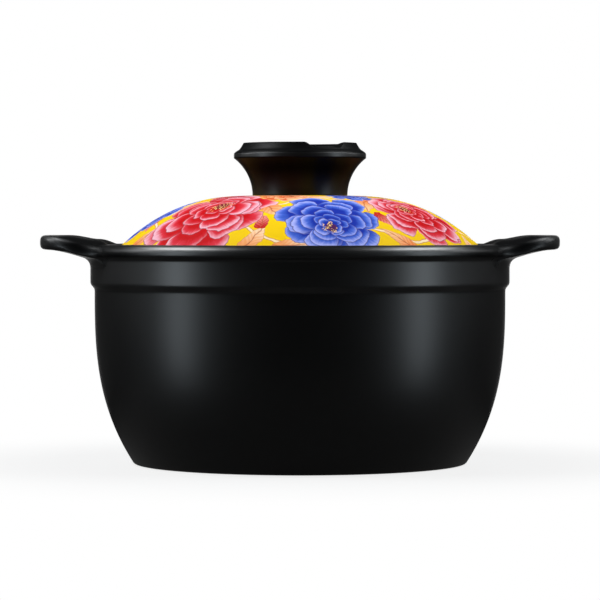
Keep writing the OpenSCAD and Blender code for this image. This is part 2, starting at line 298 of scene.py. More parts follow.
def ear_section(s, reach):
    """Section of a handle as radius and height: upper face, rounded edge, underside, root."""
    edge_r = RIM_R + reach - EAR_EDGE
    inner_r = min(COLLAR_R, edge_r - EAR_LEAST_W)
    top = [(r, ear_top_z(r, s)) for r in np.linspace(EAR_ROOT_R, edge_r, 27)[:-1]]
    top_z, low_z = ear_top_z(edge_r, s), ear_low_z(edge_r)
    middle_z, foot_z = (top_z + low_z) / 2, ear_low_z(COLLAR_R)
    off_wall = float(ease(reach / ROOT_FILLET))
    power = ear_edge_power(s, reach)
    edge = []
    for t in np.radians(np.linspace(90, -90, 37)):
        across = max(math.cos(t), 0.0) ** (2 / power)
        along = math.copysign(abs(math.sin(t)) ** (2 / power), math.sin(t))
        z = middle_z + (top_z - middle_z) * along
        r = edge_r + EAR_EDGE * across + (1 - off_wall) * (wall_r(z) - RIM_R - ROOT_INSET)
        edge.append((r, z))
    under = [(r, ear_low_z(r)) for r in inner_r + (edge_r - inner_r) * np.linspace(1, 0, 25)[1:] ** 2]
    skin = []
    for r, z in edge + under:
        if z < middle_z:
            swelling = min(reach, ROOT_SWELL) * float(ease((z - foot_z) / (middle_z - foot_z)))
            r = max(r, wall_r(z) - ROOT_INSET + swelling)
        skin.append((r, z))
    root = [(r, skin[-1][1]) for r in np.linspace(skin[-1][0], EAR_ROOT_R, 5)[1:]]
    return top + skin + root


def ear_mesh(side, steps=70):
    """A handle on +X for side 1 and on -X for side -1. Its root lies inside the wall of the pot."""
    half = ear_outline(steps)
    outline = [(-s, b) for s, b in half[:0:-1]] + half
    verts, faces = [], []
    for s, b in outline:
        turn = math.radians(EAR_HALF_ANGLE) * s
        for r, z in ear_section(s, b):
            verts.append((side * r * math.cos(turn) * MM, r * math.sin(turn) * MM, z * MM))
    count = len(verts) // len(outline)
    for k in range(len(outline) - 1):
        for i in range(count):
            a, b = k * count + i, k * count + (i + 1) % count
            faces.append((a, b, b + count, a + count))
    faces.append(tuple(range(count)))
    faces.append(tuple(len(verts) - count + i for i in range(count)))
    return verts, faces


# Lid
def dome_z(r):
    return KNOB_Z - DOME_H * float(held((r - NECK_R) / (LID_R - NECK_R))) ** DOME_POWER


def dome_fall(r):
    """Fall of the dome from the level, as an angle."""
    share = float(held((r - NECK_R) / (LID_R - NECK_R)))
    return math.atan(DOME_H / (LID_R - NECK_R) * DOME_POWER * share ** (DOME_POWER - 1))


def under_point(r, depth):
    """The point at a depth under the dome, square to its surface."""
    return (r - depth * math.sin(dome_fall(r)), dome_z(r) - depth * math.cos(dome_fall(r)))


def lid_outline():
    skirt_round = SKIRT_T / 3
    radii = np.linspace(NECK_R, LID_R, 400)
    under_radii = [under_point(r, LID_T + UNDER_ROUND)[0] for r in radii]
    under_r = float(np.interp(SKIRT_IN_R - UNDER_ROUND, under_radii, radii))
    under_c = under_point(under_r, LID_T + UNDER_ROUND)
    skirt_out, skirt_in = SKIRT_R - skirt_round, SKIRT_IN_R + skirt_round
    top = [(r, dome_z(r)) for r in np.linspace(NECK_R, LID_R, 73)]
    return merged(
        [(r, KNOB_Z) for r in np.linspace(VENT_R, NECK_R, 9)[:-1]]
        + top
        + corner((LID_R - LID_ROUND, SEAT_Z + LID_ROUND), LID_ROUND, LID_ROUND, -90, 0)[::-1]
        + [(SKIRT_R, SEAT_Z)]
        + corner((skirt_out, SKIRT_Z + skirt_round), skirt_round, skirt_round, -90, 0)[::-1]
        + corner((skirt_in, SKIRT_Z + skirt_round), skirt_round, skirt_round, -180, -90)[::-1]
        + corner(under_c, UNDER_ROUND, UNDER_ROUND, 0, 90 - math.degrees(dome_fall(under_r)))
        + [under_point(r, LID_T) for r in np.linspace(under_r, NECK_R, 40)]
        + [(r, KNOB_Z - LID_T) for r in np.linspace(NECK_R, VENT_R, 8)[1:]]
        + [(VENT_R, KNOB_Z)]
    )


# Knob
def knob_outline():
    neck_h = FLANGE_LOW_Z - KNOB_Z
    neck_curve_r = (neck_h**2 + FLANGE_OUT**2) / (2 * FLANGE_OUT)
    neck_turn = math.degrees(math.asin(neck_h / neck_curve_r))
    bowl_turn = math.degrees(math.acos(VENT_R / RECESS_R))
    inner_round = CROWN_W / 8
    lip_r, lip_z = RECESS_R + inner_round, CROWN_TOP_Z - CROWN_DIP
    shares = np.linspace(0, 1, 13)
    bevel = [(CROWN_FOOT_R + CROWN_INSET * (1 - s**FLANGE_POWER), FLANGE_TOP_Z + FLANGE_ROUND_H * s)
             for s in shares]
    face = [(CROWN_FOOT_R - (CROWN_LEAN - CROWN_ROUND) * s**CROWN_POWER,
             CROWN_FOOT_Z + (CROWN_H - CROWN_ROUND) * s) for s in shares]
    return merged(
        corner((NECK_R + neck_curve_r, KNOB_Z), neck_curve_r, neck_curve_r, 180 - neck_turn, 180, 40)[::-1]
        + [(FLANGE_R, z) for z in np.linspace(FLANGE_LOW_Z, FLANGE_TOP_Z, 4)]
        + bevel
        + face
        + corner((CROWN_TOP_R, CROWN_TOP_Z - CROWN_ROUND), CROWN_ROUND, CROWN_ROUND, 0, 90)
        + [(r, CROWN_TOP_Z - CROWN_DIP * s**2) for s, r in zip(shares, np.linspace(CROWN_TOP_R, lip_r, 13))]
        + corner((lip_r, lip_z - inner_round), inner_round, inner_round, 90, 180)
        + [(RECESS_R, z) for z in np.linspace(lip_z - inner_round, CROWN_TOP_Z - RECESS_WALL_H, 8)]
        + corner((0, CROWN_TOP_Z - RECESS_WALL_H), RECESS_R, RECESS_BOWL_H, 0, -bowl_turn, 24)
        + [(VENT_R, KNOB_Z), (NECK_R, KNOB_Z)]
    )


def blend_down(a, b, reach):
    """The smaller of two arrays, with a fillet where they are nearer to each other than reach."""
    near = np.maximum(reach - np.abs(a - b), 0.0) / reach
    return np.minimum(a, b) - near**2 * reach / 4


def knob_mesh():
    """The turned knob with a shallow notch across its crown on two opposite sides."""
    verts, faces = lathe(knob_outline(), KNOB_SEGMENTS)
    across_way = math.radians(NOTCH_TURN)
    across = np.abs(verts[:, 0] * math.cos(across_way) + verts[:, 1] * math.sin(across_way)) / MM
    along = np.abs(verts[:, 0] * math.sin(across_way) - verts[:, 1] * math.cos(across_way)) / MM
    floor_z = CROWN_TOP_Z - NOTCH_DEPTH
    side_z = floor_z + (across - NOTCH_W / 2) * NOTCH_DEPTH / NOTCH_FLARE
    cut_z = -blend_down(-side_z, np.full_like(side_z, -floor_z), NOTCH_ROUND)
    z = verts[:, 2] / MM
    lowered = blend_down(z, cut_z, NOTCH_ROUND)
    in_crown = (along > RECESS_R / 2) & (z > CROWN_FOOT_Z)
    verts[:, 2] = np.where(in_crown, lowered, z) * MM
    return verts, faces


# Node networks
class Net:
    """Adds nodes to a material or world; an input is a socket, a number or a colour."""

    def __init__(self, owner):
        owner.use_nodes = True
        self.nodes, self.links = owner.node_tree.nodes, owner.node_tree.links
        self.nodes.clear()

    def node(self, kind, inputs=None, **settings):
        made = self.nodes.new(kind)
        for key, value in settings.items():
            setattr(made, key, value)
        for key, value in (inputs or {}).items():
            self.feed(made.inputs[key], value)
        return made

    def feed(self, socket, value):
        if isinstance(value, bpy.types.NodeSocket):
            self.links.new(value, socket)
        elif isinstance(value, tuple) and len(value) == 3 and len(socket.default_value) == 4:
            socket.default_value = (*value, 1)
        else:
            socket.default_value = value

    def math(self, operation, *values):
        return self.node("ShaderNodeMath", dict(enumerate(values)), operation=operation).outputs[0]

    def times(self, a, b):
        return self.math("MULTIPLY", a, b)

    def times_plus(self, a, b, c):
        """a times b, plus c."""
        return self.math("MULTIPLY_ADD", a, b, c)

    def minus(self, a, b):
        return self.math("SUBTRACT", a, b)

    def most(self, a, b):
        return self.math("MAXIMUM", a, b)

    def over(self, value, limit):
        """1 where a value is over a limit, and 0 elsewhere."""
        return self.math("GREATER_THAN", value, limit)

    def smooth(self, value, start, end, low=0.0, high=1.0):
        """A smooth step from low at start to high at end."""
        made = self.node("ShaderNodeMapRange", {0: value, 1: start, 2: end, 3: low, 4: high},
                         interpolation_type="SMOOTHSTEP")
        return made.outputs[0]

    def band(self, length, ends, low=0.0, high=1.0):
        """A smooth step of a length in metres from low to high, between two ends in millimetres."""
        return self.smooth(length, ends[0] * MM, ends[1] * MM, low, high)

    def linear(self, value, start, end, low=0.0, high=1.0):
        return self.node("ShaderNodeMapRange", {0: value, 1: start, 2: end, 3: low, 4: high}).outputs[0]

    def between(self, factor, a, b):
        """The number a at a factor of 0 and b at 1."""
        return self.node("ShaderNodeMix", {0: factor, 2: a, 3: b}).outputs[0]

    def mix(self, factor, a, b):
        """The colour a at a factor of 0 and b at 1."""
        return self.node("ShaderNodeMix", {0: factor, 6: a, 7: b}, data_type="RGBA").outputs[2]

    def vector(self, operation, *values):
        made = self.node("ShaderNodeVectorMath", dict(enumerate(values)), operation=operation)
        return made.outputs["Value"] if operation == "LENGTH" else made.outputs[0]

    def scaled(self, vector, factor):
        return self.node("ShaderNodeVectorMath", {0: vector, "Scale": factor}, operation="SCALE").outputs[0]

    def hypotenuse(self, a, b):
        return self.math("SQRT", self.times_plus(a, a, self.times(b, b)))

    def parts(self, vector):
        return self.node("ShaderNodeSeparateXYZ", {0: vector}).outputs

    def joined(self, x, y, z=0.0):
        return self.node("ShaderNodeCombineXYZ", {0: x, 1: y, 2: z}).outputs[0]

    def noise(self, vector, scale, detail=2.0):
        """Soft noise from 0 to 1, with a scale in patches to a unit of the vector."""
        made = self.node("ShaderNodeTexNoise", {"Vector": vector, "Scale": scale, "Detail": detail})
        return made.outputs[0]

    def coordinates(self, kind):
        return self.node("ShaderNodeTexCoord").outputs[kind]

    def principled(self, inputs, **constants):
        """A glossy surface from linked inputs and from numbers that are the same all over it."""
        shader = self.node("ShaderNodeBsdfPrincipled", inputs)
        for name, value in constants.items():
            shader.inputs[name.replace("_", " ")].default_value = value
        self.node("ShaderNodeOutputMaterial", {"Surface": shader.outputs[0]})


def grey(level):
    return (level, level, level)


# Bare clay: darker and paler body, grains, and patches of both to a metre
CLAY_DARK, CLAY_PALE, CLAY_GRAIN = (0.40, 0.30, 0.21), (0.52, 0.41, 0.30), (0.20, 0.13, 0.08)
CLAY_PATCHES, GRAIN_PATCHES = 60.0, 1400.0
CLAY_GRAIN_BAND, CLAY_ROUGH = (0.62, 0.72), 0.85
# Levels of noise between which a roughness changes
NOISE_BAND = (0.3, 0.7)
# How far the glaze's border on the clay wanders, and how far above the ledge clay is bare, in millimetres
CLAY_RAG, RAG_PATCHES, CLAY_LEVEL_BAND = 0.6, 160.0, (0.3, 0.2)


def clay(net, place):
    """Buff stoneware with darker grains."""
    grain = net.smooth(net.noise(place, GRAIN_PATCHES), *CLAY_GRAIN_BAND)
    body = net.mix(net.noise(place, CLAY_PATCHES, detail=4.0), CLAY_DARK, CLAY_PALE)
    return net.mix(grain, body, CLAY_GRAIN)


# Black glaze
BLACK_DEEP, BLACK_PALE = (0.0010, 0.0010, 0.0012), (0.0016, 0.0016, 0.0019)
BLACK_ROUGH_RANGE, BLACK_SPECULAR, COAT_ROUGH = (0.35, 0.39), 0.02, 0.37
PEEL_H, PEEL_STRENGTH = 0.2, 0.03
# Patches of tone, of gloss and of orange peel to a metre
BLACK_TONE_PATCHES, BLACK_GLOSS_PATCHES, PEEL_PATCHES = 45.0, 130.0, 900.0
# Upward part of the surface's direction, from what counts as the underside to what counts as the upper side
UPWARD_BAND = (-0.30, 0.10)
# The gloss is a coat whose weight changes over bands, each written as its two ends in millimetres.
# Bands of height on the pot, and of distance from the plane between the handles
STEPS_LOW_BAND, STEPS_TOP_BAND = (98.5, 99.5), (118.5, 117.0)
RIM_BAND, RIM_MIDDLE_BAND = (117.0, 120.0), (101.0, 80.0)
RIM_SIDE_LOW_BAND, RIM_SIDE_BAND = (116.5, 118.5), (80.0, 98.0)
WALL_TOP_BAND, WALL_SIDE_BAND = (119.0, 117.0), (85.0, 104.0)
LIP_BAND, LIP_END_BAND, LIP_MIDDLE_BAND = (120.5, 122.0), (101.0, 74.0), (20.0, 62.0)
# Weight on the wall, gain on the rim and the steps, loss at the sides, weight and gain on the lip
WALL_COAT, STEPS_GAIN, RIM_SIDE_LOSS, WALL_SIDE_LOSS = 0.68, 0.31, 0.48, 0.18
LIP_COAT, LIP_GAIN, LIP_MIDDLE_SHARE = 0.18, 0.80, 0.30
# Handles: distance from the axis or from the plane between them, height, weight above, at the tip and below
GRIP_BAND, GRIP_TIP_BAND, GRIP_DULL_BAND = (122.2, 124.0), (130.0, 146.0), (140.0, 126.0)
ROOT_BAND, ROOT_LOW_BAND = (105.0, 111.0), (117.5, 120.5)
GRIP_COAT, GRIP_TIP_COAT, GRIP_UNDER_COAT = 0.08, 0.95, 0.90
# Knob: bands of height, and weight on the edge of the flange, at the foot of the neck and on the crown
KNOB_BAND, FLANGE_LOW_BAND, FLANGE_TOP_BAND = (135.0, 140.0), (173.2, 174.0), (176.2, 175.4)
NECK_FOOT_BAND, NECK_TOP_BAND, CROWN_BAND = (168.0, 150.0), (168.0, 173.0), (176.2, 177.0)
FLANGE_COAT, NECK_COAT, CROWN_COAT = 0.80, 0.60, 0.05
# Added roughness on the handles and on the crown
GRIP_DULLNESS, CROWN_DULLNESS = 0.28, 0.15
# Radii of the bare ring on the ledge, and height of the bare clay under the foot
LEDGE_START_BAND, LEDGE_END_BAND, FOOT_CLAY_BAND = (103.0, 103.2), (107.5, 107.3), (0.2, 0.1)


def pot_coat(net, across, z):
    """Weight of the coat on the pot: more on rim, collar and steps, less at the sides and on the lip."""
    steps = net.times(net.band(z, STEPS_LOW_BAND), net.band(z, STEPS_TOP_BAND))
    rim = net.times(net.band(z, RIM_BAND), net.band(across, RIM_MIDDLE_BAND))
    rim_side = net.times(net.band(z, RIM_SIDE_LOW_BAND), net.band(across, RIM_SIDE_BAND))
    wall_side = net.times(net.band(z, WALL_TOP_BAND), net.band(across, WALL_SIDE_BAND))
    weight = net.times_plus(net.most(rim, steps), STEPS_GAIN, WALL_COAT)
    weight = net.times_plus(rim_side, -RIM_SIDE_LOSS, weight)
    weight = net.times_plus(wall_side, -WALL_SIDE_LOSS, weight)
    shine = net.times(net.band(across, LIP_END_BAND), net.band(across, LIP_MIDDLE_BAND, LIP_MIDDLE_SHARE))
    return net.between(net.band(z, LIP_BAND), weight, net.times_plus(shine, LIP_GAIN, LIP_COAT))


def knob_coat(net, z):
    """Weight of the coat on the knob: high on the flange's edge and at the foot of the neck, low above."""
    edge = net.times(net.band(z, FLANGE_LOW_BAND), net.band(z, FLANGE_TOP_BAND))
    crown = net.band(z, NECK_TOP_BAND, 0.0, CROWN_COAT)
    return net.times_plus(edge, FLANGE_COAT, net.times_plus(net.band(z, NECK_FOOT_BAND), NECK_COAT, crown))


def pot_clay(net, place, out, z):
    """1 where the clay is bare, under the foot and on the ledge for the lid."""
    ragged = net.times_plus(net.noise(place, RAG_PATCHES), CLAY_RAG * MM, out)
    ring = net.times(net.band(ragged, LEDGE_START_BAND), net.band(ragged, LEDGE_END_BAND))
    off_ledge = net.math("ABSOLUTE", net.minus(z, SEAT_Z * MM))
    ledge = net.times(ring, net.band(off_ledge, CLAY_LEVEL_BAND))
    return net.most(ledge, net.band(z, FOOT_CLAY_BAND))


def black_glaze():
    """Satin black glaze with a faint orange peel and uneven gloss."""
    mat = bpy.data.materials.new("satin_black_glaze")
    net = Net(mat)
    place = net.coordinates("Object")
    x, y, z = net.parts(place)
    out = net.vector("LENGTH", net.joined(x, y))
    across = net.math("ABSOLUTE", x)
    above = net.smooth(net.parts(net.coordinates("Normal"))[2], *UPWARD_BAND)
    root = net.times(net.band(across, ROOT_BAND), net.band(z, ROOT_LOW_BAND))
    grip = net.most(net.band(out, GRIP_BAND), root)
    grip_top = net.band(across, GRIP_TIP_BAND, GRIP_COAT, GRIP_TIP_COAT)
    grip_coat = net.between(above, GRIP_UNDER_COAT, grip_top)
    weight = net.between(grip, pot_coat(net, across, z), grip_coat)
    weight = net.between(net.band(z, KNOB_BAND), weight, knob_coat(net, z))
    rough = net.linear(net.noise(place, BLACK_GLOSS_PATCHES, detail=3.0), *NOISE_BAND, *BLACK_ROUGH_RANGE)
    dull = net.times(net.times(grip, above), net.band(across, GRIP_DULL_BAND))
    rough = net.times_plus(dull, GRIP_DULLNESS, rough)
    rough = net.times_plus(net.band(z, CROWN_BAND), CROWN_DULLNESS, rough)
    colour = net.mix(net.noise(place, BLACK_TONE_PATCHES, detail=3.0), BLACK_DEEP, BLACK_PALE)
    bare = pot_clay(net, place, out, z)
    colour = net.mix(bare, colour, clay(net, place))
    rough = net.most(rough, net.times(bare, CLAY_ROUGH))
    weight = net.times(weight, net.minus(1.0, bare))
    peel = net.noise(place, PEEL_PATCHES)
    bump = net.node("ShaderNodeBump", {"Height": peel, "Strength": PEEL_STRENGTH, "Distance": PEEL_H * MM})
    surface = {"Base Color": colour, "Roughness": rough, "Normal": bump.outputs[0], "Coat Weight": weight}
    net.principled(surface, Specular_IOR_Level=BLACK_SPECULAR, Coat_Roughness=COAT_ROUGH)
    return mat


# Floral print of the lid, drawn twice round it in a plane whose radius is the length along the dome
GROUND, GROUND_DARK, GROUND_PALE = (0.93, 0.6, 0.003), (0.90, 0.56, 0.003), (0.95, 0.63, 0.004)
BLUE, RED, PEACH = 0, 1, 2
# Colour of the shaded inside, the middle and the pale edge of a petal, for blue, red and peach flowers
PETAL_TINTS = (
    ((0.010, 0.030, 0.36), (0.06, 0.14, 0.64), (0.42, 0.46, 0.90)),
    ((0.56, 0.001, 0.004), (0.72, 0.035, 0.06), (0.92, 0.50, 0.60)),
    ((0.70, 0.10, 0.02), (0.93, 0.33, 0.13), (1.0, 0.62, 0.36)),
)
PETAL_LINE, HEART, POLLEN = (0.05, 0.015, 0.03), (0.10, 0.012, 0.03), (0.95, 0.62, 0.22)
# Azimuth from the front towards +X in degrees, radius along the dome, size in millimetres, turn, kind
FLOWERS = (
    (-41, 80, 40, 20, RED),
    (12, 83, 33, 250, BLUE),
    (56, 81, 31, 140, RED),
    (-84, 82, 24, 60, BLUE),
    (-11, 45, 15, 0, PEACH),
    (36, 44, 14, 90, BLUE),
    (-58, 44, 13, 200, RED),
    (-97, 45, 12, 310, PEACH),
)
ORANGE_LEAF, PALE_LEAF, BUD = 0, 1, 2
# Colour of the deep inside and of the pale tip, for orange leaves, pale leaves and buds
LEAF_TINTS = (
    ((0.86, 0.22, 0.05), (0.98, 0.60, 0.30)),
    ((0.93, 0.36, 0.12), (1.0, 0.72, 0.46)),
    ((0.55, 0.01, 0.01), (0.90, 0.30, 0.24)),
)
LEAF_LINE = (0.50, 0.10, 0.04)
# Azimuth, radius, half length, direction of the tip against outward, kind
LEAVES = (
    (-13, 72, 15, 40, ORANGE_LEAF),
    (-15, 102, 14, 155, PALE_LEAF),
    (34, 64, 14, -35, ORANGE_LEAF),
    (35, 104, 14, -150, ORANGE_LEAF),
    (-66, 70, 14, -30, PALE_LEAF),
    (-64, 104, 13, 160, ORANGE_LEAF),
    (-2, 108, 13, 95, PALE_LEAF),
    (69, 109, 12, 140, PALE_LEAF),
    (-98, 56, 12, -60, ORANGE_LEAF),
    (11, 46, 13, 75, PALE_LEAF),
    (-36, 37, 13, -95, ORANGE_LEAF),
    (58, 42, 12, 100, PALE_LEAF),
    (-77, 47, 12, 60, ORANGE_LEAF),
    (-73, 88, 12, 20, BUD),
    (34, 84, 9, 15, BUD),
    (-14, 87, 9, 185, BUD),
)
# Middle radius and swing to each side in millimetres, waves round the lid and their start
STEMS = ((60, 9, 6, 0.4), (97, 8, 8, 2.1))
STEM_EDGE, STEM_CORE = (0.62, 0.20, 0.08), (1.0, 0.80, 0.50)
STEM_EDGE_BAND, STEM_CORE_BAND = (1.5, 1.1), (1.1, 0.6)
# Outer reach of each ring of petals and of the heart as shares of the flower, and petals in each ring
RING_REACH_SHARES = (1.0, 0.82, 0.65, 0.49, 0.34, 0.22, 0.12)
RING_PETALS = (7, 6, 6, 5, 5, 4)
# How far each ring's middle is shifted from the one outside it
SHIFT_X_SHARE, SHIFT_Y_SHARE = 0.045, 0.018
# Turn from flower to flower and from ring to ring, counted in petals, and curl of even and of odd rings
FLOWER_TURN, RING_TURN, FIRST_TURN, RING_CURLS = 0.37, 0.618, 10, (-0.4, 0.5)
# What a flower and a ring add to the seed of a petal's chance
FLOWER_SEED, RING_SEED = 31.7, 13.3
# Petals: least size and what chance adds, where the shade starts, rounding of the lobe, ruffled border
PETAL_LEAST_SHARE, PETAL_MORE_SHARE, PETAL_INNER_SHARE = 0.87, 0.26, 0.80
LOBE_DEPTH, LOBE_POWER, RUFFLE_SHARE, RUFFLE_LEAST = 0.30, 3.2, 0.10, 0.03
# How light a petal is: what chance and streaks add, what is taken off, bands of its middle and edge tint
CHANCE_GAIN, STREAK_GAIN, LIGHT_LOSS = 0.24, 0.30, 0.16
MIDDLE_TINT_BAND, EDGE_TINT_BAND = (0.15, 0.66), (0.50, 1.0)
# Shade where the next petal lies over, outline, seam between petals, soft border, and darkness of the lines
OVERLAP_BAND, OVERLAP_DEPTH, OUTLINE_BAND, OUTLINE_DEPTH = (0.74, 1.0), 0.8, (0.010, 0.024), 0.85
SEAM_BAND, SEAM_DEPTH, PETAL_END_BAND, LINE_SHARE = (0.955, 1.0), 0.6, (0.0, 0.012), 0.7
# Patches of ruffle, streaks and pollen to a flower's radius, and bands of the pollen and of the heart
RUFFLE_PATCHES, STREAK_PATCHES, POLLEN_PATCHES = 5.5, 22.0, 26.0
DOT_BAND, POLLEN_BAND, HEART_BAND, HEART_DEPTH = (0.42, 0.28), (0.20, 0.13), (0.13, 0.09), 0.8
# Leaves in shares of their half length: bend, half width, its fall to the tip, waver; power of their taper
LEAF_BEND, LEAF_W_SHARE, LEAF_FALL_SHARE, LEAF_WAVER_SHARE, LEAF_POWER = 0.22, 0.40, 0.16, 0.16, 0.9
# Ribs of a leaf: lean and number, and what they and the tip add to its lightness
RIB_LEAN, RIB_TURNS, RIB_GAIN, TIP_GAIN, LEAF_LEVEL = 1.1, 26.0, 0.10, 0.55, 0.45
# Middle rib, outline and soft border of a leaf, and patches of waver to its half length
LEAF_TINT_BAND, RIB_BAND, RIB_DEPTH = (0.1, 0.95), (0.045, 0.015), 0.7
LEAF_LINE_BAND, LEAF_LINE_DEPTH, LEAF_END_BAND, WAVER_PATCHES = (0.02, 0.05), 0.65, (0.0, 0.03), 3.0
# A place's tag is its number plus its kind divided by this
TAG_KINDS = 10.0
# Azimuth of the line through the axis where the second half of the print starts
PRINT_FOLD = 77
# How far the print wanders from side to side in millimetres, and patches of it to a millimetre
WANDER, WANDER_PATCHES = 5.0, 0.11
YELLOW_ROUGH_RANGE, YELLOW_SPECULAR = (0.56, 0.64), 0.03
YELLOW_TONE_PATCHES, YELLOW_GLOSS_PATCHES = 30.0, 90.0
# Upward part of the surface's direction from which on there is print
PRINT_BAND = (0.30, 0.45)
# Radii of the bare ring on which the lid rests
LID_CLAY_START_BAND, LID_CLAY_END_BAND = (100.9, 101.2), (107.2, 106.9)
# Length that the slope of the dome adds to its radius at the edge, and how late it builds up
DOME_RADII = np.linspace(NECK_R, LID_R, 400)
DOME_HEIGHTS = np.array([dome_z(r) for r in DOME_RADII])
SPREAD_LENGTH = float(np.sum(np.hypot(np.diff(DOME_RADII), np.diff(DOME_HEIGHTS)))) - (LID_R - NECK_R)
SPREAD_POWER = 3.9


def place_on_dome(azimuth, radius):
    turn = math.radians(azimuth - 90)
    return radius * math.cos(turn), radius * math.sin(turn)


def nearest(net, plane, places):
    """Local coordinates, number and kind of the nearest of the places (x, y, turn in degrees, size, kind)."""
    best, found = None, None
    for number, (x, y, turn, size, kind) in enumerate(places):
        local = net.node("ShaderNodeMapping", {"Vector": plane, "Location": (x, y, 0),
                                               "Rotation": (0, 0, math.radians(turn)),
                                               "Scale": (size, size, 1)}, vector_type="TEXTURE").outputs[0]
        reach = net.vector("LENGTH", local)
        tagged = net.vector("ADD", local, (0, 0, number + kind / TAG_KINDS))
        if best is None:
            best, found = reach, tagged
        else:
            nearer = net.math("LESS_THAN", reach, best)
            found = net.node("ShaderNodeMix", {0: nearer, 4: found, 5: tagged}, data_type="VECTOR").outputs[1]
            best = net.math("MINIMUM", reach, best)
    x, y, tag = net.parts(found)
    number = net.math("FLOOR", net.math("ADD", tag, 0.5 / TAG_KINDS))
    return x, y, number, net.times(net.minus(tag, number), TAG_KINDS)


def by_kind(net, kind, tints, level):
    """The colour at a level of the tints of a kind, with the limits halfway between the kinds."""
    colour = net.mix(net.over(kind, 0.5), tints[0][level], tints[1][level])
    return net.mix(net.over(kind, 1.5), colour, tints[2][level])


def petal_ring(net, ring, x, y, number, ruffle, streak, tints, below):
    """One ring of petals over the colour below it."""
    petals, reach, next_reach = RING_PETALS[ring], RING_REACH_SHARES[ring], RING_REACH_SHARES[ring + 1]
    inner, middle, edge = tints
    dx, dy = net.minus(x, SHIFT_X_SHARE * ring), net.minus(y, SHIFT_Y_SHARE * ring)
    rho = net.hypotenuse(dx, dy)
    angle = net.math("ARCTAN2", dy, dx)
    start = net.times_plus(number, FLOWER_TURN, RING_TURN * ring + FIRST_TURN)
    curl = net.times_plus(rho, RING_CURLS[ring % 2], start)
    turn = net.times_plus(angle, petals / (2 * math.pi), curl)
    index = net.math("FLOORED_MODULO", net.math("FLOOR", turn), float(petals))
    seed = net.math("ADD", net.times_plus(number, FLOWER_SEED, RING_SEED * ring), index)
    chance = net.node("ShaderNodeTexWhiteNoise", {"W": seed}, noise_dimensions="1D").outputs
    across = net.math("FRACT", turn)
    fold = net.math("ABSOLUTE", net.times_plus(across, 2.0, -1.0))
    lobe = net.times_plus(net.math("POWER", fold, LOBE_POWER), -LOBE_DEPTH, 1.0)
    size = net.times_plus(chance["Value"], PETAL_MORE_SHARE * reach, PETAL_LEAST_SHARE * reach)
    border = net.times_plus(ruffle, RUFFLE_SHARE * reach + RUFFLE_LEAST, net.times(size, lobe))
    depth = net.minus(border, rho)
    rise = net.linear(rho, net.times(border, PETAL_INNER_SHARE * next_reach / reach), border)
    tone = net.parts(chance["Color"])[0]
    lit = net.times_plus(tone, CHANCE_GAIN, net.math("ADD", rise, -LIGHT_LOSS))
    lit = net.times_plus(streak, STREAK_GAIN, lit)
    colour = net.mix(net.smooth(lit, *MIDDLE_TINT_BAND), inner, middle)
    colour = net.mix(net.smooth(lit, *EDGE_TINT_BAND), colour, edge)
    overlap = net.smooth(across, *OVERLAP_BAND, 0.0, OVERLAP_DEPTH)
    colour = net.mix(overlap, colour, inner)
    line = net.smooth(depth, *OUTLINE_BAND, OUTLINE_DEPTH, 0.0)
    seam = net.smooth(fold, *SEAM_BAND, 0.0, SEAM_DEPTH)
    colour = net.mix(net.most(line, seam), colour, net.mix(LINE_SHARE, inner, PETAL_LINE))
    return net.mix(net.smooth(depth, *PETAL_END_BAND), below, colour)


def flowers(net, plane, ground):
    """Layered flowers with a dark heart and pollen, over the colour of the ground."""
    places = []
    for azimuth, radius, size, turn, kind in FLOWERS:
        places.append((*place_on_dome(azimuth, radius), turn, size, kind))
    x, y, number, kind = nearest(net, plane, places)
    local = net.joined(x, y, number)
    ruffle = net.minus(net.noise(local, RUFFLE_PATCHES), 0.5)
    angle = net.math("ARCTAN2", y, x)
    rays = net.joined(net.math("COSINE", angle), net.math("SINE", angle), number)
    streak = net.minus(net.noise(rays, STREAK_PATCHES), 0.5)
    tints = [by_kind(net, kind, PETAL_TINTS, level) for level in range(3)]
    colour = ground
    for ring in range(len(RING_PETALS)):
        colour = petal_ring(net, ring, x, y, number, ruffle, streak, tints, colour)
    last = len(RING_PETALS)
    heart = net.hypotenuse(net.minus(x, SHIFT_X_SHARE * last), net.minus(y, SHIFT_Y_SHARE * last))
    dots = net.node("ShaderNodeTexVoronoi", {"Vector": local, "Scale": POLLEN_PATCHES}).outputs["Distance"]
    pollen = net.times(net.smooth(dots, *DOT_BAND), net.smooth(heart, *POLLEN_BAND))
    colour = net.mix(net.smooth(heart, *HEART_BAND, 0.0, HEART_DEPTH), colour, HEART)
    return net.mix(pollen, colour, POLLEN)


